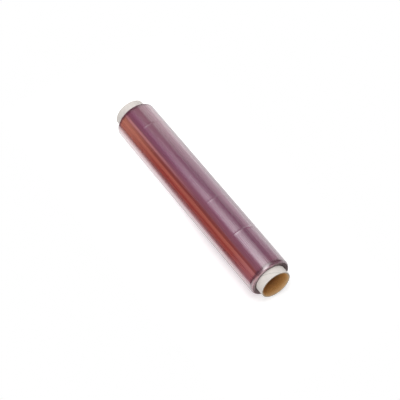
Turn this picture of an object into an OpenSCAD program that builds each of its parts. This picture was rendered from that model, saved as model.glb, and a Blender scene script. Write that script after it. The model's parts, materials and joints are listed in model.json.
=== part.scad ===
// A roll of cling film: thin tinted film wound on a paperboard core that shows at both ends.
// It stands on the core's lower cut end. The roll's axis is Z, and the origin is at the
// middle of that end.

/* [Core tube] */
// Diameter of the hole through the core
core_bore_d = 37; // [30:0.5:60]
// Thickness of the core's spiral-wound paperboard wall
core_wall = 2; // [1.2:0.1:4]
// Bare core below the film
stub_bottom = 13.5; // [6:0.5:30]
// Bare core above the film
stub_top = 11.5; // [6:0.5:30]
// Bevel that the knife leaves on each cut edge of the core
core_edge_bevel = 0.3; // [0.1:0.05:0.5]

/* [Wound film] */
// Width of the film, along the core
film_width = 300; // [260:1:450]
// Thickness of all the wound turns together, from the core outwards
film_build = 7; // [4:0.5:20]
// How far the outer turns fall in towards each end
shoulder_depth = 1.6; // [0.6:0.1:2.5]
// Length along the roll of that fall, the shoulder
shoulder_length = 3; // [1:0.1:5]
// Flat rim of each end face, between the uneven turns and the shoulder
rim_flat = 0.5; // [0.3:0.1:1]
// Height of the step at the free tail, where the last turns end together
tail_step = 0.2; // [0.1:0.05:0.5]
// Direction of the tail's edge, seen from above
tail_angle = -52; // [-180:1:180]

/* [Marks of the winding] */
// Turns that stand at their own height on each end face
end_rings = 8; // [4:1:12]
// How far the lowest of those turns lies under the highest
end_ring_drop = 0.35; // [0.1:0.05:0.6]
// Heights of the gauge bands above the film's lower edge
band_heights = [36, 179, 237]; // [8:1:250]
// Length of a gauge band along the roll
band_length = 2.4; // [1:0.2:5]
// How far a gauge band stands out of the film
band_proud = 0.15; // [0.05:0.05:0.4]

/* [Hidden] */
$fn = 128;

core_length = stub_bottom + film_width + stub_top;
core_bore_r = core_bore_d / 2;
core_r = core_bore_r + core_wall;
film_bottom = stub_bottom;
film_top = film_bottom + film_width;

// The film's outside is one turn of a snail line drawn from two centres: one half turn of
// the plain radius, and one that grows by the tail's step.
film_r = core_r + film_build - tail_step / 2;
ring_area_r = film_r - shoulder_depth - rim_flat;
ring_pitch = (ring_area_r - core_r) / end_rings;
shoulder_steps = 6;
// Share of a ring's width that slopes, at either side, to the next ring's height
ring_slope = 0.15;
// Successive turns don't repeat their height: each is turned on by this angle
ring_turn = 137.5;
cut_margin = shoulder_depth;

function ring_height(i) = -end_ring_drop * (0.5 + 0.5 * sin(i * ring_turn));

function shoulder_arc(r, z, from, to) = [
    for (k = [0:shoulder_steps])
        let (a = from + (to - from) * k / shoulder_steps)
            [r - shoulder_depth * (1 - cos(a)), z + shoulder_length * sin(a)]
];

function band_bump(r, z) = [
    [r, z - band_length / 2],
    [r + band_proud, z - band_length / 4],
    [r + band_proud, z + band_length / 4],
    [r, z + band_length / 2]
];

function film_outline(r) = concat(
    [[0, film_bottom]],
    shoulder_arc(r, film_bottom + shoulder_length, -90, 0),
    [for (h = band_heights) for (p = band_bump(r, film_bottom + h)) p],
    shoulder_arc(r, film_top - shoulder_length, 0, 90),
    [[0, film_top]]
);

module core_tube() {
    b = core_edge_bevel;
    color([0.86, 0.83, 0.80])
        rotate_extrude()
            polygon([
                [core_bore_r + b, 0],
                [core_r - b, 0],
                [core_r, b],
                [core_r, core_length - b],
                [core_r - b, core_length],
                [core_bore_r + b, core_length],
                [core_bore_r, core_length - b],
                [core_bore_r, b]
            ]);
}

module wound_turns() {
    rotate([0, 0, tail_angle]) {
        rotate([0, 0, 180])
            rotate_extrude(angle = 180)
                polygon(film_outline(film_r));
        translate([tail_step / 2, 0, 0])
            rotate_extrude(angle = 180)
                polygon(film_outline(film_r + tail_step / 2));
    }
}

// Takes each end ring down to its own height. The profile is drawn for the upper end.
module end_ring_cut() {
    steps = [
        for (i = [0:end_rings - 1])
            for (side = [ring_slope, 1 - ring_slope])
                [core_r + (i + side) * ring_pitch, ring_height(i)]
    ];
    rotate_extrude()
        polygon(concat(
            [[core_r - cut_margin, cut_margin], [core_r - cut_margin, ring_height(0)]],
            steps,
            [[ring_area_r, 0], [ring_area_r, cut_margin]]
        ));
}

module film_roll() {
    color([0.50, 0.28, 0.34])
        difference() {
            wound_turns();
            translate([0, 0, film_bottom - cut_margin])
                cylinder(r = core_r, h = film_width + 2 * cut_margin);
            translate([0, 0, film_top])
                end_ring_cut();
            translate([0, 0, film_bottom])
                mirror([0, 0, 1])
                    end_ring_cut();
        }
}

core_tube();
film_roll();
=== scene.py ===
import json
import math

import bpy
from mathutils import Matrix, Vector


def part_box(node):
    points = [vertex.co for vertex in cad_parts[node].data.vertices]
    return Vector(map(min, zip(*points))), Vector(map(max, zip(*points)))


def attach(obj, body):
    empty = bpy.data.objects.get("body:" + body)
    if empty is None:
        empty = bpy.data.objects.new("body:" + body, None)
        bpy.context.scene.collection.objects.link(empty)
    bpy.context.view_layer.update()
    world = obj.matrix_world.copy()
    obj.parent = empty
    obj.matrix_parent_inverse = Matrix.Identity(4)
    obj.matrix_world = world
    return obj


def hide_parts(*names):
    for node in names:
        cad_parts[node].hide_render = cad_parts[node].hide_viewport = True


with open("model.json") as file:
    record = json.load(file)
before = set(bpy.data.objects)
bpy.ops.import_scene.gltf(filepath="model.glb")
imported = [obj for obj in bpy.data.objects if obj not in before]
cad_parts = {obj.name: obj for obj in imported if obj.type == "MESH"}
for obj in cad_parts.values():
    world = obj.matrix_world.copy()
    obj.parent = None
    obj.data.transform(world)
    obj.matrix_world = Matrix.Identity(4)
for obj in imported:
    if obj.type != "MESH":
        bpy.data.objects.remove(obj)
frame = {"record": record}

mm = 0.001
mergeDistance = 0.002 * mm
creaseAngle = math.radians(35)

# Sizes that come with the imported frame, in metres
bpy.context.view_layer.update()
coreLow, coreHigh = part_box("core_tube")
filmLow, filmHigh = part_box("film_roll")
coreRadius = (coreHigh.x - coreLow.x) / 2
mounts = {mount["name"]: mount for mount in frame["record"]["mounts"]}
boreRadius = mounts["core_bore"]["dims"]["r_mm"] * mm
coreBottom, coreTop = coreLow.z, coreHigh.z
filmBottom, filmTop = filmLow.z, filmHigh.z
print("frame loaded: core radius", round(coreRadius / mm, 2), "mm,",
      "film", round(filmTop - filmBottom, 4), "m wide")


# Small helpers for node trees

def addNode(tree, kind, inputs=None, **options):
    made = tree.nodes.new(kind)
    for option, value in options.items():
        setattr(made, option, value)
    for socket, value in (inputs or {}).items():
        if isinstance(value, bpy.types.NodeSocket):
            tree.links.new(value, made.inputs[socket])
        else:
            made.inputs[socket].default_value = value
    return made


def calc(tree, operation, *values):
    return addNode(tree, "ShaderNodeMath", dict(enumerate(values)), operation=operation).outputs[0]


def plus(tree, first, second):
    return calc(tree, "ADD", first, second)


def minus(tree, first, second):
    return calc(tree, "SUBTRACT", first, second)


def times(tree, first, second):
    return calc(tree, "MULTIPLY", first, second)


def remap(tree, value, low, high, toLow=0.0, toHigh=1.0, smooth=True):
    how = "SMOOTHSTEP" if smooth else "LINEAR"
    inputs = {"Value": value, "From Min": low, "From Max": high, "To Min": toLow, "To Max": toHigh}
    return addNode(tree, "ShaderNodeMapRange", inputs, interpolation_type=how).outputs[0]


def spread(tree, value, contrast):
    # A noise's middle part, brought to 1 with the contrast to either side
    return remap(tree, value, 0.3, 0.7, 1 - contrast, 1 + contrast, smooth=False)


def splitVector(tree, vector):
    return addNode(tree, "ShaderNodeSeparateXYZ", {0: vector}).outputs


def joinVector(tree, x, y, z):
    return addNode(tree, "ShaderNodeCombineXYZ", {0: x, 1: y, 2: z}).outputs[0]


def mixColours(tree, factor, first, second, blend="MIX"):
    made = addNode(tree, "ShaderNodeMix", {0: factor}, data_type="RGBA", blend_type=blend)
    for place, colour in ((6, first), (7, second)):
        if isinstance(colour, bpy.types.NodeSocket):
            tree.links.new(colour, made.inputs[place])
        else:
            made.inputs[place].default_value = (*colour, 1)
    return made.outputs[2]


def mixNumbers(tree, factor, first, second):
    inputs = {0: factor, 2: first, 3: second}
    return addNode(tree, "ShaderNodeMix", inputs, data_type="FLOAT").outputs[0]


def tint(tree, colour, grey):
    return mixColours(tree, 1.0, colour, joinVector(tree, grey, grey, grey), "MULTIPLY")


def colourRamp(tree, factor, stops):
    made = addNode(tree, "ShaderNodeValToRGB", {0: factor})
    elements = made.color_ramp.elements
    while len(elements) < len(stops):
        elements.new(0.5)
    for element, (place, colour) in zip(elements, stops):
        element.position = place
        element.color = (*colour, 1)
    return made.outputs[0]


def noise(tree, vector, scale, detail=2.0, roughness=0.5, seed=0.0):
    inputs = {"Vector": vector, "Scale": scale, "Detail": detail, "Roughness": roughness, "W": seed}
    return addNode(tree, "ShaderNodeTexNoise", inputs, noise_dimensions="4D").outputs[0]


def fromAxis(tree, x, y):
    return calc(tree, "SQRT", plus(tree, times(tree, x, x), times(tree, y, y)))


def fromAngle(tree, angle, centre):
    # From 0 at the centre to pi on the other side
    return calc(tree, "ARCCOSINE", calc(tree, "COSINE", minus(tree, angle, centre)))


def fromNearest(tree, height, bottom, top):
    return calc(tree, "MINIMUM", minus(tree, height, bottom), minus(tree, top, height))


def bumpNormal(tree, height, strength, depth):
    inputs = {"Height": height, "Strength": strength, "Distance": depth}
    return addNode(tree, "ShaderNodeBump", inputs).outputs[0]


def newMaterial(name):
    made = bpy.data.materials.new(name)
    made.use_nodes = True
    made.node_tree.nodes.clear()
    tree = made.node_tree
    shader = addNode(tree, "ShaderNodeBsdfPrincipled")
    addNode(tree, "ShaderNodeOutputMaterial", {"Surface": shader.outputs[0]})
    return made, tree, shader


# Camera: the photo's view of the roll, in the frame where the roll stands upright
cameraSettings = {
    "lens": 168.43,
    "target": Vector((2.71, 3.30, 165.88)) * mm,
    "distance": 2.3246,
    "azimuth": math.radians(23.162),
    "elevation": math.radians(30.323),
    "roll": math.radians(-139.756),     # from the roll standing to the roll lying on its table
}


def makeCamera(settings):
    azimuth, elevation, roll = settings["azimuth"], settings["elevation"], settings["roll"]
    back = Vector((math.sin(azimuth) * math.cos(elevation),
                   -math.cos(azimuth) * math.cos(elevation),
                   math.sin(elevation)))
    levelRight = Vector((math.cos(azimuth), math.sin(azimuth), 0))
    levelUp = back.cross(levelRight)
    up = levelUp * math.cos(roll) + levelRight * math.sin(roll)
    right = levelRight * math.cos(roll) - levelUp * math.sin(roll)
    data = bpy.data.cameras.new("camera")
    data.lens = settings["lens"]
    camera = bpy.data.objects.new("camera", data)
    bpy.context.scene.collection.objects.link(camera)
    turn = Matrix((right, up, back)).transposed().to_4x4()
    place = settings["target"] + back * settings["distance"]
    camera.matrix_world = Matrix.Translation(place) @ turn
    bpy.context.scene.camera = camera


makeCamera(cameraSettings)
print("camera placed")


# Wound film
filmSettings = {
    "windDepth": 7 * mm,            # all the turns together
    "shoulderDepth": 1.6 * mm,
    "shoulderLength": 3 * mm,
    "shoulderSteps": 8,
    "rimFlat": 0.5 * mm,
    "tailStep": 0.2 * mm,
    "tailAngle": math.radians(-52),
    "endRings": 8,
    "ringDrop": 0.35 * mm,
    "ringTurn": math.radians(137.5),
    "ringSlope": 0.15,
    "ringHollow": 0.04 * mm,
    "bandHeights": (36 * mm, 179 * mm, 237 * mm),
    "bandLength": 2.4 * mm,
    "bandShape": ((-0.5, 0), (-0.36, 0.4), (-0.22, 1), (0.22, 1), (0.36, 0.4), (0.5, 0)),
    "bandProud": (0.085 * mm, 0.06 * mm, 0.10 * mm),
    "bandSide": math.radians(-96),      # where the bands stand out most
    "bandRest": 0.2,                    # share of their height that is left away from there
    "rowLength": 1.25 * mm,
    "columns": 232,
    "wrinkleDepth": 0.05 * mm,
    "hoopDepth": 0.012 * mm,
    "ringWander": 0.12 * mm,
}
filmSettings["radius"] = coreRadius + filmSettings["windDepth"] - filmSettings["tailStep"] / 2
filmSettings["rimRadius"] = filmSettings["radius"] - filmSettings["shoulderDepth"]
filmSettings["ringRadius"] = filmSettings["rimRadius"] - filmSettings["rimFlat"]


def filmOutline(s):
    # Half of a lengthwise cut, as (radius, height), from the core at the top to the core below
    pitch = (s["ringRadius"] - coreRadius) / s["endRings"]
    rings = []
    for ring in range(s["endRings"]):
        height = -s["ringDrop"] * (0.5 + 0.5 * math.sin(ring * s["ringTurn"]))
        for share in (s["ringSlope"], 0.5, 1 - s["ringSlope"]):
            dip = s["ringHollow"] if share == 0.5 else 0
            rings.append((coreRadius + (ring + share) * pitch, height - dip))
    endFace = [(coreRadius, rings[0][1])] + rings + [(s["ringRadius"], 0)]
    shoulder = []
    slope = 2 * math.atan(s["shoulderDepth"] / s["shoulderLength"])     # of the arc at the rim
    arcRadius = s["shoulderLength"] / math.sin(slope)
    for step in range(s["shoulderSteps"], -1, -1):
        angle = slope * step / s["shoulderSteps"]
        shoulder.append((s["radius"] - arcRadius * (1 - math.cos(angle)),
                         arcRadius * math.sin(angle) - s["shoulderLength"]))
    end = endFace + shoulder
    top = [(r, filmTop + z) for r, z in end]
    bottom = [(r, filmBottom - z) for r, z in reversed(end)]
    sideTop, sideBottom = filmTop - s["shoulderLength"], filmBottom + s["shoulderLength"]
    rows = round((sideTop - sideBottom) / s["rowLength"])
    side = []
    for row in range(1, rows):
        z = sideTop + (sideBottom - sideTop) * row / rows
        fromBand = min(abs(z - filmBottom - h) for h in s["bandHeights"])
        if fromBand > s["bandLength"] / 2 + s["rowLength"] / 3:
            side.append((s["radius"], z))
    for height, proud in zip(s["bandHeights"], s["bandProud"]):
        for share, rise in s["bandShape"]:
            side.append((s["radius"] + proud * rise, filmBottom + height + share * s["bandLength"]))
    side.sort(key=lambda point: -point[1])
    return top + side + bottom


def profileObject(name, outline):
    mesh = bpy.data.meshes.new(name)
    points = [(r, 0, z) for r, z in outline]
    edges = [(i, (i + 1) % len(points)) for i in range(len(points))]
    mesh.from_pydata(points, edges, [])
    made = bpy.data.objects.new(name, mesh)
    bpy.context.scene.collection.objects.link(made)
    return made


def startTree(name, inputs):
    tree = bpy.data.node_groups.new(name, "GeometryNodeTree")
    tree.is_modifier = True
    tree.interface.new_socket("Geometry", in_out="OUTPUT", socket_type="NodeSocketGeometry")
    tree.interface.new_socket("Geometry", in_out="INPUT", socket_type="NodeSocketGeometry")
    kinds = {int: "NodeSocketInt", float: "NodeSocketFloat"}
    for label, value in inputs.items():
        kind = kinds.get(type(value), "NodeSocketMaterial")
        tree.interface.new_socket(label, in_out="INPUT", socket_type=kind)
    return tree, addNode(tree, "NodeGroupInput").outputs


def revolveGrid(tree, profile, columns):
    # A grid with a line of points per column; each point knows its column and its profile point
    size = addNode(tree, "GeometryNodeAttributeDomainSize", {0: profile}, component="MESH")
    count = size.outputs[0]
    rows = plus(tree, count, 1)
    counts = {"Vertices X": columns, "Vertices Y": rows}
    grid = addNode(tree, "GeometryNodeMeshGrid", counts).outputs[0]
    index = addNode(tree, "GeometryNodeInputIndex").outputs[0]
    column = calc(tree, "FLOOR", calc(tree, "DIVIDE", plus(tree, index, 0.5), rows))
    row = minus(tree, index, times(tree, column, rows))
    wrapped = calc(tree, "MODULO", row, count)
    position = addNode(tree, "GeometryNodeInputPosition").outputs[0]
    sample = addNode(tree, "GeometryNodeSampleIndex", data_type="FLOAT_VECTOR", domain="POINT")
    tree.links.new(profile, sample.inputs["Geometry"])
    tree.links.new(position, sample.inputs["Value"])
    tree.links.new(wrapped, sample.inputs["Index"])
    place = splitVector(tree, sample.outputs[0])
    return grid, column, place[0], place[2]


def finishTree(tree, grid, position, material):
    placed = addNode(tree, "GeometryNodeSetPosition", {"Geometry": grid, "Position": position})
    merging = {"Geometry": placed.outputs[0], "Distance": mergeDistance}
    merged = addNode(tree, "GeometryNodeMergeByDistance", merging)
    smooth = addNode(tree, "GeometryNodeSetShadeSmooth", {0: merged.outputs[0]})
    real = addNode(tree, "GeometryNodeRealizeInstances", {0: smooth.outputs[0]})
    painting = {"Geometry": real.outputs[0], "Material": material}
    return addNode(tree, "GeometryNodeSetMaterial", painting).outputs[0]


def applyTree(piece, tree, values):
    modifier = piece.modifiers.new(tree.name, "NODES")
    modifier.node_group = tree
    items = tree.interface.items_tree
    sockets = {item.name: item.identifier for item in items if item.in_out == "INPUT"}
    for label, value in values.items():
        modifier[sockets[label]] = value
    depsgraph = bpy.context.evaluated_depsgraph_get()
    mesh = bpy.data.meshes.new_from_object(piece.evaluated_get(depsgraph), depsgraph=depsgraph)
    piece.modifiers.clear()
    piece.data = mesh
    mesh.set_sharp_from_angle(angle=creaseAngle)
    print(piece.name, "has", len(mesh.vertices), "points and", len(mesh.polygons), "faces")


def windFilmTree(values):
    tree, given = startTree("wind the film", values)
    # One more column than the turn needs, at the first column's place, closes the step at the tail
    columns = given["Columns"]
    vertices = plus(tree, columns, 2)
    grid, column, radius, height = revolveGrid(tree, given["Geometry"], vertices)
    around = calc(tree, "MINIMUM", calc(tree, "DIVIDE", column, columns), 1)
    afterTail = times(tree, around, math.tau)
    angle = plus(tree, afterTail, given["Tail Angle"])
    isClosing = calc(tree, "GREATER_THAN", column, plus(tree, columns, 0.5))
    opening = times(tree, minus(tree, 1, isClosing), afterTail)
    lift = plus(tree, 0.5, times(tree, calc(tree, "COSINE", opening), 0.5))
    isFirstHalf = calc(tree, "LESS_THAN", opening, math.pi)
    lift = times(tree, times(tree, lift, isFirstHalf), given["Tail Step"])
    outside = remap(tree, radius, given["Ring Radius"], given["Rim Radius"])
    # Long low wrinkles, and short ridges round the roll, from noises on a tube of radius 1
    unit = joinVector(tree, calc(tree, "COSINE", angle), calc(tree, "SINE", angle), 0)
    unitParts = splitVector(tree, unit)
    longPlace = joinVector(tree, unitParts[0], unitParts[1], times(tree, height, 9))
    hoopPlace = joinVector(tree, unitParts[0], unitParts[1], times(tree, height, 90))
    wrinkle = minus(tree, noise(tree, longPlace, scale=3.2, detail=2, seed=1.7), 0.5)
    hoop = minus(tree, noise(tree, hoopPlace, scale=1.3, detail=1, seed=4.1), 0.5)
    wrinkle = times(tree, wrinkle, given["Wrinkle Depth"])
    hoop = times(tree, hoop, given["Hoop Depth"])
    swell = times(tree, plus(tree, lift, plus(tree, wrinkle, hoop)), outside)
    # The turns wander a little up and down round each end face
    ringPlace = joinVector(tree, unitParts[0], unitParts[1], times(tree, radius, 900))
    wander = minus(tree, noise(tree, ringPlace, scale=1.1, detail=2, seed=7.3), 0.5)
    offCore = remap(tree, minus(tree, radius, given["Core Radius"]), 0, 0.4 * mm)
    inner = times(tree, minus(tree, 1, outside), offCore)
    wander = times(tree, times(tree, wander, inner), given["Ring Wander"])
    # The raised bands fade from 0.4 to 1 radian away from their side
    fromSide = fromAngle(tree, angle, given["Band Side"])
    lost = remap(tree, fromSide, 0.40, 1.0, 0.0, minus(tree, 1, given["Band Rest"]))
    proud = calc(tree, "MAXIMUM", minus(tree, radius, given["Film Radius"]), 0)
    swell = minus(tree, swell, times(tree, proud, lost))
    reach = plus(tree, radius, swell)
    position = joinVector(tree, times(tree, unitParts[0], reach),
                          times(tree, unitParts[1], reach),
                          plus(tree, height, wander))
    painted = finishTree(tree, grid, position, given["Side Material"])
    # The cut edges of the turns, on the end faces, have a finish of their own
    faceX, faceY, _ = splitVector(tree, addNode(tree, "GeometryNodeInputPosition").outputs[0])
    isEnd = calc(tree, "LESS_THAN", fromAxis(tree, faceX, faceY), given["Rim Radius"])
    ends = {"Geometry": painted, "Selection": isEnd, "Material": given["End Material"]}
    painted = addNode(tree, "GeometryNodeSetMaterial", ends).outputs[0]
    addNode(tree, "NodeGroupOutput", {0: painted})
    return tree


def filmSideMaterial(s):
    # Each colour that comes in towards an end, with its greatest share and how far in it reaches
    finish = {
        "edgeRing": (0.095, 0.014, 0.034),
        "edgeRingShare": 0.8,
        "edgeRingStart": (0.3 * mm, 1.0 * mm),
        "edgeRingEnd": (5 * mm, 9 * mm),
        "endMauve": (0.25, 0.065, 0.105),
        "endMauveShare": 0.35,
        "endMauveLength": 22 * mm,
        "farPink": (0.46, 0.24, 0.24),
        "farPinkShare": 0.27,
        "farPinkLength": 150 * mm,
        "farSalmon": (0.77, 0.29, 0.20),
        "farSalmonShare": 0.45,
        "farSalmonLength": 105 * mm,
        "nearRose": (0.64, 0.40, 0.58),
        "nearRoseShare": 0.15,
        "nearRoseLength": 60 * mm,
        "tailLine": (0.70, 0.28, 0.28),
        "tailLineShare": 0.75,
        "tailLineLength": 170 * mm,
        "redEnds": (0.11, 0.14),        # the red band's far edge, in turns past the tail
        "unevenEdges": 0.02,            # turns
        "streakContrast": 0.14,
        "hoopContrast": 0.015,
        "roughness": (0.24, 0.30),
        "layersIor": 2.3,               # a stack of layers reflects more than one
        "coatWeight": 0.8,
        "coatRoughness": 0.14,
        "coatIor": 1.5,
        "bumpStrength": 0.12,
        "bumpDepth": 0.3 * mm,
    }
    # Round the roll, by degrees past the tail's edge
    around = [
        (0, (0.27, 0.072, 0.085)),
        (3, (0.25, 0.040, 0.043)),
        (7, (0.25, 0.034, 0.026)),
        (11, (0.46, 0.105, 0.075)),
        (16, (0.46, 0.095, 0.065)),
        (20, (0.31, 0.025, 0.018)),
        (26, (0.39, 0.045, 0.032)),
        (32, (0.27, 0.020, 0.022)),
        (40, (0.35, 0.058, 0.085)),
        (62, (0.27, 0.058, 0.100)),
        (120, (0.22, 0.060, 0.110)),
        (204, (0.28, 0.050, 0.055)),
        (222, (0.20, 0.045, 0.100)),
        (275, (0.21, 0.065, 0.125)),
        (301, (0.24, 0.062, 0.135)),
        (312, (0.165, 0.030, 0.085)),
        (340, (0.22, 0.043, 0.125)),
        (356, (0.25, 0.068, 0.105)),
    ]
    material, tree, shader = newMaterial("tinted film")
    place = addNode(tree, "ShaderNodeTexCoord").outputs["Object"]
    x, y, z = splitVector(tree, place)
    angle = calc(tree, "ARCTAN2", y, x)
    turn = calc(tree, "FRACT", calc(tree, "DIVIDE", minus(tree, angle, s["tailAngle"]), math.tau))
    fromEdge = fromNearest(tree, z, filmBottom, filmTop)
    # Noises drawn out along the roll, and one drawn out round it
    finePlace = joinVector(tree, x, y, times(tree, z, 0.02))
    fineStreaks = noise(tree, finePlace, scale=620, detail=3, roughness=0.6, seed=2)
    widePlace = joinVector(tree, x, y, times(tree, z, 0.05))
    wideStreaks = noise(tree, widePlace, scale=260, detail=2, seed=5)
    hoopPlace = joinVector(tree, times(tree, x, 0.12), times(tree, y, 0.12), z)
    hoops = noise(tree, hoopPlace, scale=420, detail=3, seed=8)
    # Colour round the roll, with uneven edges away from the tail
    push = times(tree, minus(tree, wideStreaks, 0.5), finish["unevenEdges"])
    push = times(tree, push, remap(tree, turn, 0.0, 0.03))
    stops = [(degrees / 360, colour) for degrees, colour in around]
    body = colourRamp(tree, plus(tree, turn, push), stops)
    grey = times(tree, spread(tree, fineStreaks, finish["streakContrast"]),
                 spread(tree, hoops, finish["hoopContrast"]))
    body = tint(tree, body, grey)
    # The red band past the tail pales towards both ends, and the other side towards the far one
    inRed = remap(tree, turn, *finish["redEnds"], 1.0, 0.0)
    inRed = times(tree, inRed, remap(tree, turn, 0.0, 0.012))
    notRed = minus(tree, 1, inRed)
    halfOn = calc(tree, "FRACT", plus(tree, turn, 0.504))
    fromTail = calc(tree, "ABSOLUTE", minus(tree, halfOn, 0.5))
    pinkFrom = filmBottom + finish["farPinkLength"]
    pinkShare = remap(tree, z, pinkFrom, filmBottom, 0.0, finish["farPinkShare"])
    pinkShare = times(tree, pinkShare, times(tree, notRed, remap(tree, fromTail, 0.035, 0.08)))
    body = mixColours(tree, pinkShare, body, finish["farPink"])
    salmonFrom = filmBottom + finish["farSalmonLength"]
    salmonShare = times(tree, remap(tree, z, salmonFrom, filmBottom), inRed)
    acrossRed = remap(tree, turn, 0.06, 0.10, finish["farSalmonShare"], 0.15)
    salmonShare = times(tree, salmonShare, acrossRed)
    body = mixColours(tree, salmonShare, body, finish["farSalmon"])
    roseFrom = filmTop - finish["nearRoseLength"]
    roseShare = remap(tree, z, roseFrom, filmTop - 5 * mm, 0.0, finish["nearRoseShare"])
    roseShare = times(tree, roseShare, times(tree, inRed, remap(tree, turn, 0.010, 0.030)))
    body = mixColours(tree, roseShare, body, finish["nearRose"])
    tailFrom = filmBottom + finish["tailLineLength"]
    tailShare = remap(tree, z, tailFrom, filmBottom + 10 * mm, smooth=False)
    onTail = remap(tree, fromTail, 0.004, 0.012, finish["tailLineShare"], 0.0)
    tailShare = times(tree, onTail, tailShare)
    body = mixColours(tree, tailShare, body, finish["tailLine"])
    # Towards the ends the other side turns to mauve, with a darker ring just inside each edge
    endShare = remap(tree, fromEdge, finish["endMauveLength"], 4 * mm, 0.0, finish["endMauveShare"])
    body = mixColours(tree, times(tree, endShare, notRed), body, finish["endMauve"])
    ringIn = remap(tree, fromEdge, *finish["edgeRingStart"])
    ragged = plus(tree, fromEdge, times(tree, wideStreaks, 4 * mm))
    ringOut = remap(tree, ragged, *finish["edgeRingEnd"], 1.0, 0.0)
    ringShare = times(tree, times(tree, ringIn, ringOut), finish["edgeRingShare"])
    body = mixColours(tree, ringShare, body, finish["edgeRing"])
    tree.links.new(body, shader.inputs["Base Color"])
    # Gloss
    rough = remap(tree, wideStreaks, 0.3, 0.7, *finish["roughness"], smooth=False)
    tree.links.new(rough, shader.inputs["Roughness"])
    shader.inputs["IOR"].default_value = finish["layersIor"]
    height = plus(tree, times(tree, fineStreaks, 0.5), times(tree, hoops, 0.12))
    bump = bumpNormal(tree, height, finish["bumpStrength"], finish["bumpDepth"])
    tree.links.new(bump, shader.inputs["Normal"])
    tree.links.new(bump, shader.inputs["Coat Normal"])
    shader.inputs["Coat Weight"].default_value = finish["coatWeight"]
    shader.inputs["Coat Roughness"].default_value = finish["coatRoughness"]
    shader.inputs["Coat IOR"].default_value = finish["coatIor"]
    return material


def filmEndMaterial():
    finish = {
        "dark": (0.060, 0.036, 0.034),
        "mauve": (0.190, 0.125, 0.130),
        "outer": (0.590, 0.400, 0.430),
        "outerRadii": (21.8 * mm, 24.0 * mm),
        "shadedSide": math.radians(121),     # middle of the half where the end faces are painted in shade
        "shadedSideShare": 0.12,                 # of the painted highlight left there
        "roughness": (0.45, 0.65),
        "bumpStrength": 0.4,
        "bumpDepth": 0.1 * mm,
        "specularLevel": 0.25,
    }
    material, tree, shader = newMaterial("film edges")
    place = addNode(tree, "ShaderNodeTexCoord").outputs["Object"]
    x, y, _ = splitVector(tree, place)
    angle, radius = calc(tree, "ARCTAN2", y, x), fromAxis(tree, x, y)
    ringPlace = joinVector(tree, times(tree, radius, 14), times(tree, angle, 0.006), 0)
    turnLines = noise(tree, ringPlace, scale=500, detail=3, seed=3)
    mottle = noise(tree, place, scale=420, detail=2, seed=6)
    share = remap(tree, turnLines, 0.40, 0.70)
    share = times(tree, share, remap(tree, mottle, 0.35, 0.65, 0.3, 1.0))
    colour = mixColours(tree, share, finish["dark"], finish["mauve"])
    # The pale outer colour is a painted highlight. It gives way to the dark turns by the core and
    # towards the shaded side, which is painted shade.
    fromShadedSide = fromAngle(tree, angle, finish["shadedSide"])
    awayFromShade = remap(tree, plus(tree, fromShadedSide, mottle), 2.05, 3.55, finish["shadedSideShare"], 1.0)
    outer = remap(tree, plus(tree, radius, times(tree, mottle, 1.5 * mm)), *finish["outerRadii"])
    colour = mixColours(tree, times(tree, outer, awayFromShade), colour, finish["outer"])
    tree.links.new(colour, shader.inputs["Base Color"])
    rough = remap(tree, turnLines, 0.3, 0.7, *finish["roughness"], smooth=False)
    tree.links.new(rough, shader.inputs["Roughness"])
    bump = bumpNormal(tree, turnLines, finish["bumpStrength"], finish["bumpDepth"])
    tree.links.new(bump, shader.inputs["Normal"])
    shader.inputs["Specular IOR Level"].default_value = finish["specularLevel"]
    return material


filmRoll = profileObject("film", filmOutline(filmSettings))
filmValues = {
    "Columns": filmSettings["columns"],
    "Tail Angle": filmSettings["tailAngle"],
    "Tail Step": filmSettings["tailStep"],
    "Core Radius": coreRadius,
    "Film Radius": filmSettings["radius"],
    "Band Side": filmSettings["bandSide"],
    "Band Rest": filmSettings["bandRest"],
    "Ring Radius": filmSettings["ringRadius"],
    "Rim Radius": filmSettings["rimRadius"],
    "Wrinkle Depth": filmSettings["wrinkleDepth"],
    "Hoop Depth": filmSettings["hoopDepth"],
    "Ring Wander": filmSettings["ringWander"],
    "Side Material": filmSideMaterial(filmSettings),
    "End Material": filmEndMaterial(),
}
applyTree(filmRoll, windFilmTree(filmValues), filmValues)
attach(filmRoll, "root")
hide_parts("film_roll")
print("film wound")


# Paperboard core
coreSettings = {
    "bevel": 0.3 * mm,
    "plies": 4,
    "plyGroove": 0.04 * mm,
    "seamTwist": math.radians(-5.3) / mm,       # how the spiral seam turns with height
    "seamAngle": math.radians(-62.7),           # where it passes seamHeight
    "seamHeight": 316 * mm,
    "seamWidth": 0.5 * mm,
    "seamDepth": 0.12 * mm,
    "columns": 126,
    "insideSeamColumn": 78,
    "seamColumns": 3,
    "stubRow": 1 * mm,
    "hiddenRow": 2 * mm,
    "cutRoughness": 0.10 * mm,
}


def coreOutline(s):
    bevel = s["bevel"]
    wall = coreRadius - boreRadius
    rim = []
    for ply in range(s["plies"]):
        for share, groove in ((0, s["plyGroove"]), (0.3, 0), (0.7, 0)):
            if ply or share:
                rim.append((coreRadius - wall * (ply + share) / s["plies"], -groove))
    rim = [(r, z) for r, z in rim if boreRadius + bevel < r < coreRadius - bevel]
    rim = [(coreRadius - bevel, 0)] + rim + [(boreRadius + bevel, 0)]
    rimTop = [(r, coreTop + z) for r, z in rim]
    rimBottom = [(r, coreTop + coreBottom - z) for r, z in reversed(rimTop)]
    heights = [coreBottom + bevel]
    while heights[-1] < coreTop - bevel - s["stubRow"] / 2:
        hidden = filmBottom + s["stubRow"] < heights[-1] < filmTop - 2 * s["stubRow"]
        heights.append(heights[-1] + (s["hiddenRow"] if hidden else s["stubRow"]))
    heights[-1] = coreTop - bevel
    outside = [(coreRadius, z) for z in heights]
    inside = [(boreRadius, z) for z in reversed(heights)]
    return outside + rimTop + inside + rimBottom


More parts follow.
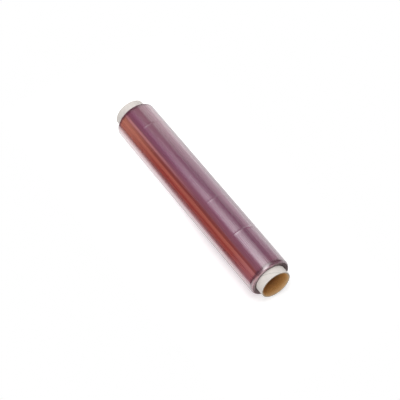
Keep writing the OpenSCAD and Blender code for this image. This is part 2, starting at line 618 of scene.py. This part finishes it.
def windCoreTree(values):
    tree, given = startTree("wind the core", values)
    columns, seamColumns = given["Columns"], given["Seam Columns"]
    grid, column, radius, height = revolveGrid(tree, given["Geometry"], plus(tree, columns, 1))
    # Narrow columns at the outer and the inner seam, wide ones between
    seamReach = times(tree, given["Core Radius"], seamColumns)
    narrow = calc(tree, "DIVIDE", given["Seam Width"], seamReach)
    narrowColumns = times(tree, seamColumns, 2)
    wide = calc(tree, "DIVIDE", minus(tree, math.tau, times(tree, narrow, narrowColumns)),
                minus(tree, columns, narrowColumns))
    inSeam = calc(tree, "MINIMUM", column, seamColumns)
    pastInside = minus(tree, column, given["Inside Seam Column"])
    inInside = calc(tree, "MINIMUM", calc(tree, "MAXIMUM", pastInside, 0), seamColumns)
    narrowed = times(tree, plus(tree, inSeam, inInside), minus(tree, narrow, wide))
    around = plus(tree, times(tree, column, wide), narrowed)
    spiral = times(tree, minus(tree, height, given["Seam Height"]), given["Seam Twist"])
    angle = plus(tree, plus(tree, around, spiral), given["Seam Angle"])
    # The seam's two middle columns sink in, outside at one seam and inside at the other
    wallMiddle = times(tree, plus(tree, given["Core Radius"], given["Bore Radius"]), 0.5)
    isOutside = calc(tree, "GREATER_THAN", radius, wallMiddle)
    isInside = minus(tree, 1, isOutside)
    outerGroove = times(tree, calc(tree, "COMPARE", column, 1.5, 0.6), isOutside)
    innerGroove = times(tree, calc(tree, "COMPARE", pastInside, 1.5, 0.6), isInside)
    sink = times(tree, minus(tree, innerGroove, outerGroove), given["Seam Depth"])
    unitX, unitY = calc(tree, "COSINE", angle), calc(tree, "SINE", angle)
    # Fibres leave the cut edges a little uneven
    fromCut = fromNearest(tree, height, given["Bottom"], given["Top"])
    atCut = remap(tree, fromCut, 0.35 * mm, 0.0)
    fuzzPlace = joinVector(tree, unitX, unitY, times(tree, radius, 250))
    fuzz = minus(tree, noise(tree, fuzzPlace, scale=9, detail=3, seed=2.2), 0.5)
    fuzz = times(tree, times(tree, fuzz, atCut), given["Cut Roughness"])
    reach = plus(tree, radius, sink)
    position = joinVector(tree, times(tree, unitX, reach), times(tree, unitY, reach),
                          plus(tree, height, fuzz))
    painted = finishTree(tree, grid, position, given["Material"])
    addNode(tree, "NodeGroupOutput", {0: painted})
    return tree


def boardMaterial(s):
    finish = {
        "paper": (0.80, 0.75, 0.71),
        "paperFleck": (0.68, 0.64, 0.60),
        "paperTones": (0.94, 1.04),
        "paperDepth": (0.50 * mm, 0.35 * mm),   # from none of it to all of it
        "seam": (0.40, 0.42, 0.36),
        "seamShare": 0.85,
        "seamEdge": (0.0025, 0.0055),           # turns
        "cutCream": (0.46, 0.37, 0.28),
        "cutTan": (0.28, 0.20, 0.13),
        "kraft": (0.80, 0.44, 0.155),
        "kraftDark": (0.52, 0.26, 0.07),
        "kraftDepth": (0.25 * mm, 0.12 * mm),
        "kraftPaintedLight": (0.84, 0.64, 0.38),     # painted light on the bore beside the cut
        "paintedLightShare": 0.5,
        "paintedLightLength": 7 * mm,
        "kraftPaintedShade": (0.34, 0.150, 0.045),
        "paintedShadeShare": 0.85,
        "paintedShadeFrom": (12 * mm, 20 * mm),
        "roughness": (0.62, 0.82),
        "bumpStrength": 0.25,
        "bumpDepth": 0.1 * mm,
        "specularLevel": 0.3,
    }
    material, tree, shader = newMaterial("paperboard")
    place = addNode(tree, "ShaderNodeTexCoord").outputs["Object"]
    x, y, z = splitVector(tree, place)
    angle, radius = calc(tree, "ARCTAN2", y, x), fromAxis(tree, x, y)
    fibres = noise(tree, place, scale=1500, detail=4, roughness=0.6, seed=1)
    clouds = noise(tree, place, scale=130, detail=2, seed=4)
    # Distance round the core from the spiral seam, in turns
    spiral = times(tree, minus(tree, z, s["seamHeight"]), s["seamTwist"])
    along = minus(tree, minus(tree, angle, spiral), s["seamAngle"])
    halfOn = calc(tree, "FRACT", plus(tree, calc(tree, "DIVIDE", along, math.tau), 0.5))
    halfSeam = s["seamWidth"] / coreRadius / math.tau / 2
    fromSeam = calc(tree, "ABSOLUTE", minus(tree, minus(tree, halfOn, 0.5), halfSeam))
    seamLine = remap(tree, fromSeam, *finish["seamEdge"], 1.0, 0.0)
    paper = mixColours(tree, remap(tree, fibres, 0.45, 0.75), finish["paper"], finish["paperFleck"])
    tone = remap(tree, clouds, 0.3, 0.7, *finish["paperTones"], smooth=False)
    paper = tint(tree, paper, tone)
    paper = mixColours(tree, times(tree, seamLine, finish["seamShare"]), paper, finish["seam"])
    kraft = mixColours(tree, remap(tree, fibres, 0.35, 0.7), finish["kraft"], finish["kraftDark"])
    depth = fromNearest(tree, z, coreBottom, coreTop)
    # Painted light: the bore is paler beside each cut end
    paintedLight = remap(tree, depth, 0, finish["paintedLightLength"], finish["paintedLightShare"], 0.0)
    kraft = mixColours(tree, paintedLight, kraft, finish["kraftPaintedLight"])
    # Painted shade: the bore darkens deeper inside
    paintedShade = remap(tree, depth, *finish["paintedShadeFrom"], 0.0, finish["paintedShadeShare"])
    kraft = mixColours(tree, paintedShade, kraft, finish["kraftPaintedShade"])
    plyTurns = math.tau * s["plies"] / (coreRadius - boreRadius)
    plies = times(tree, minus(tree, radius, boreRadius), plyTurns)
    plyLine = remap(tree, calc(tree, "COSINE", plies), 0.3, 1.0)
    cut = mixColours(tree, plyLine, finish["cutCream"], finish["cutTan"])
    isOutside = remap(tree, minus(tree, coreRadius, radius), *finish["paperDepth"])
    isInside = remap(tree, minus(tree, radius, boreRadius), *finish["kraftDepth"])
    colour = mixColours(tree, isOutside, cut, paper)
    colour = mixColours(tree, isInside, colour, kraft)
    tree.links.new(colour, shader.inputs["Base Color"])
    rough = remap(tree, fibres, 0.3, 0.7, *finish["roughness"], smooth=False)
    tree.links.new(rough, shader.inputs["Roughness"])
    bump = bumpNormal(tree, fibres, finish["bumpStrength"], finish["bumpDepth"])
    tree.links.new(bump, shader.inputs["Normal"])
    shader.inputs["Specular IOR Level"].default_value = finish["specularLevel"]
    return material


core = profileObject("core", coreOutline(coreSettings))
coreValues = {
    "Columns": coreSettings["columns"],
    "Seam Columns": coreSettings["seamColumns"],
    "Inside Seam Column": coreSettings["insideSeamColumn"],
    "Core Radius": coreRadius,
    "Bore Radius": boreRadius,
    "Top": coreTop,
    "Bottom": coreBottom,
    "Seam Twist": coreSettings["seamTwist"],
    "Seam Angle": coreSettings["seamAngle"],
    "Seam Height": coreSettings["seamHeight"],
    "Seam Width": coreSettings["seamWidth"],
    "Seam Depth": coreSettings["seamDepth"],
    "Cut Roughness": coreSettings["cutRoughness"],
    "Material": boardMaterial(coreSettings),
}
applyTree(core, windCoreTree(coreValues), coreValues)
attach(core, "root")
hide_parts("core_tube")
print("core wound")


# Studio: the roll's side rests on a pale table, whose up is -Y here. Angles go round the roll's
# axis, in degrees from the side that faces the camera, and grow from -Y to X to +Y. A pair of
# heights says where a light changes, as the share of a direction that points up the roll.
studioSettings = {
    "cameraSide": -66.8,
    "tableMargin": 0.40,
    "tableGap": 0.05 * mm,
    "tableFade": (0.02, 0.12),  # beside the roll
    "tableColour": (0.80, 0.80, 0.80, 1),
    "farGlow": 0.75,            # the shadow is deep at the near end and thin at the far one
    "nearGlow": 0.45,
    "glowHeights": (0.08, 0.24),
    "whiteFrom": 112,           # below the table's horizon and behind the roll all is white
    "frontFrom": 70,            # in front of the near end the table is seen from its horizon on
    "frontHeights": (-0.35, 0.0),
    "farShift": 11,
    "farHeights": (-0.555, -0.53),
    "whiteTo": 247,
    "edgeSoftness": 3.5,
    "leftLevel": 1.5,           # the lit table at the left
    "leftAngles": (132, 168),
    "underLevel": 0.70,         # the table close under the roll
    "underNear": 0.38,          # and at the left of its near half
    "underHeights": (-0.50, -0.475),
    "rightLevel": 1.08,
    "rightAngles": (185, 225),
    "farGain": 1.35,            # the table is brighter beyond the roll's far end
    "nearGain": 0.95,
    "leftGainHeights": (-0.56, -0.49),
    "rightGainHeights": (-0.575, -0.515),
    "darkLevel": 0.08,
    "skyLevel": 0.5,            # from a band above the camera's side
    "skyHeights": (0.05, 0.3),
    "zenithLevel": 0.15,
    "zenithHeights": (0.35, 0.6),
}
# A level of 1 is as bright as white paper; lengths are in metres
softboxes = [
    {"name": "overhead", "angle": -20, "distance": 1.33, "height": 0.16,
     "width": 0.74, "length": 1.12, "level": 3.0},
    {"name": "overhead near end", "angle": -18, "distance": 1.33, "height": 1.45,
     "width": 0.70, "length": 1.40, "level": 4.0, "lights": False},
    {"name": "over the near end", "angle": -25, "distance": 1.90, "height": 0.31, "raised": 68,
     "width": 0.80, "length": 1.10, "level": 4.0, "lights": False},
    {"name": "overhead far end", "angle": -20, "distance": 1.33, "height": -0.53,
     "width": 0.74, "length": 0.26, "level": 1.1},
    {"name": "overhead side", "angle": -43.5, "distance": 1.33, "height": 0.10,
     "width": 0.42, "length": 1.20, "level": 1.0},
    {"name": "camera fill", "angle": 4, "distance": 1.80, "height": 0.60,
     "width": 1.60, "length": 1.70, "level": 1.6, "mirrored": False},
    {"name": "right near end", "angle": -99, "distance": 1.00, "height": -0.28,
     "width": 0.72, "length": 0.14, "level": 0.80},
    {"name": "right middle", "angle": -91, "distance": 1.00, "height": -0.45,
     "width": 0.98, "length": 0.22, "level": 0.78},
    {"name": "right far end", "angle": -85, "distance": 1.00, "height": -0.70,
     "width": 1.24, "length": 0.28, "level": 1.12},
]


def makeTable(s):
    margin = s["tableMargin"]
    level = filmSettings["radius"] + s["tableGap"]
    mesh = bpy.data.meshes.new("table")
    left, right, bottom, top = -margin, margin, coreBottom - margin, coreTop + margin
    outline = ((left, bottom), (right, bottom), (right, top), (left, top))
    mesh.from_pydata([(x, level, z) for x, z in outline], [], [(0, 1, 2, 3)])
    table = bpy.data.objects.new("table", mesh)
    bpy.context.scene.collection.objects.link(table)
    material = bpy.data.materials.new("table")
    material.use_nodes = True
    tree = material.node_tree
    tree.nodes.clear()
    surface = addNode(tree, "ShaderNodeBsdfDiffuse", {"Color": s["tableColour"]}).outputs[0]
    x, _, z = splitVector(tree, addNode(tree, "ShaderNodeTexCoord").outputs["Object"])
    strength = remap(tree, z, *s["glowHeights"], s["farGlow"], s["nearGlow"])
    glow = addNode(tree, "ShaderNodeEmission", {"Strength": strength}).outputs[0]
    lit = addNode(tree, "ShaderNodeAddShader", {0: surface, 1: glow}).outputs[0]
    # It fades out beside the roll and beyond its ends, and isn't there from behind
    beyond = calc(tree, "MAXIMUM", minus(tree, coreBottom, z), minus(tree, z, coreTop))
    beside = minus(tree, calc(tree, "ABSOLUTE", x), coreRadius)
    away = remap(tree, calc(tree, "MAXIMUM", beyond, beside), *s["tableFade"])
    behind = addNode(tree, "ShaderNodeNewGeometry").outputs["Backfacing"]
    clear = addNode(tree, "ShaderNodeBsdfTransparent").outputs[0]
    gone = calc(tree, "MAXIMUM", away, behind)
    seen = addNode(tree, "ShaderNodeMixShader", {0: gone, 1: lit, 2: clear}).outputs[0]
    addNode(tree, "ShaderNodeOutputMaterial", {"Surface": seen})
    mesh.materials.append(material)
    table.visible_shadow = False
    table.visible_glossy = False
    table.visible_diffuse = False


def makeWorld(s):
    world = bpy.data.worlds.new("studio")
    bpy.context.scene.world = world
    world.use_nodes = True
    tree = world.node_tree
    tree.nodes.clear()
    direction = addNode(tree, "ShaderNodeTexCoord").outputs["Generated"]
    x, y, z = splitVector(tree, direction)
    # Angle round the roll's axis, from 0 to 360 degrees
    fromX = times(tree, calc(tree, "ARCTAN2", y, x), 180 / math.pi)
    around = calc(tree, "MODULO", minus(tree, plus(tree, fromX, 720), s["cameraSide"]), 360)
    soft = s["edgeSoftness"]
    start = remap(tree, z, *s["frontHeights"], s["whiteFrom"], s["frontFrom"])
    start = minus(tree, start, remap(tree, z, *s["farHeights"], s["farShift"], 0))
    fromLeft = remap(tree, minus(tree, around, start), -soft, soft)
    fromRight = remap(tree, around, s["whiteTo"] - soft, s["whiteTo"] + soft, 1.0, 0.0)
    isWhite = times(tree, fromLeft, fromRight)
    under = remap(tree, z, *s["underHeights"], s["underLevel"], s["underNear"])
    left = remap(tree, around, *s["leftAngles"], s["leftLevel"], under)
    left = times(tree, left, remap(tree, z, *s["leftGainHeights"], s["farGain"], s["nearGain"]))
    right = remap(tree, around, *s["rightAngles"], s["underLevel"], s["rightLevel"])
    right = times(tree, right, remap(tree, z, *s["rightGainHeights"], s["farGain"], s["nearGain"]))
    bright = calc(tree, "MAXIMUM", left, right)
    sky = remap(tree, z, *s["skyHeights"], s["darkLevel"], s["skyLevel"])
    zenith = remap(tree, z, *s["zenithHeights"], s["skyLevel"], s["zenithLevel"])
    dim = calc(tree, "MINIMUM", sky, zenith)
    level = mixNumbers(tree, isWhite, dim, bright)
    path = addNode(tree, "ShaderNodeLightPath").outputs
    straight = calc(tree, "MAXIMUM", path["Is Camera Ray"], path["Is Transmission Ray"])
    strength = mixNumbers(tree, straight, level, 1.0)
    white = {"Color": (1, 1, 1, 1), "Strength": strength}
    background = addNode(tree, "ShaderNodeBackground", white).outputs[0]
    addNode(tree, "ShaderNodeOutputWorld", {"Surface": background})


def makeSoftbox(s):
    # Faces the roll's axis at its height, from the side or from above, its length along the roll
    data = bpy.data.lights.new(s["name"], "AREA")
    data.shape = "RECTANGLE"
    data.size = s["width"]
    data.size_y = s["length"]
    data.energy = s["level"] * math.pi * s["width"] * s["length"]      # watts for that brightness
    light = bpy.data.objects.new(s["name"], data)
    bpy.context.scene.collection.objects.link(light)
    towards = math.radians(studioSettings["cameraSide"] + s["angle"])
    raised = math.radians(s.get("raised", 0))
    out = Vector((math.cos(towards), math.sin(towards), 0))
    up = Vector((0, 0, 1))
    away = out * math.cos(raised) + up * math.sin(raised)
    along = up * math.cos(raised) - out * math.sin(raised)
    turn = Matrix((along.cross(away), along, away)).transposed().to_4x4()
    light.matrix_world = Matrix.Translation(away * s["distance"] + up * s["height"]) @ turn
    light.visible_camera = False
    light.visible_glossy = s.get("mirrored", True)
    light.visible_diffuse = s.get("lights", True)


makeTable(studioSettings)
makeWorld(studioSettings)
for softbox in softboxes:
    makeSoftbox(softbox)
bpy.context.scene.view_settings.view_transform = "Standard"
print("studio lit")
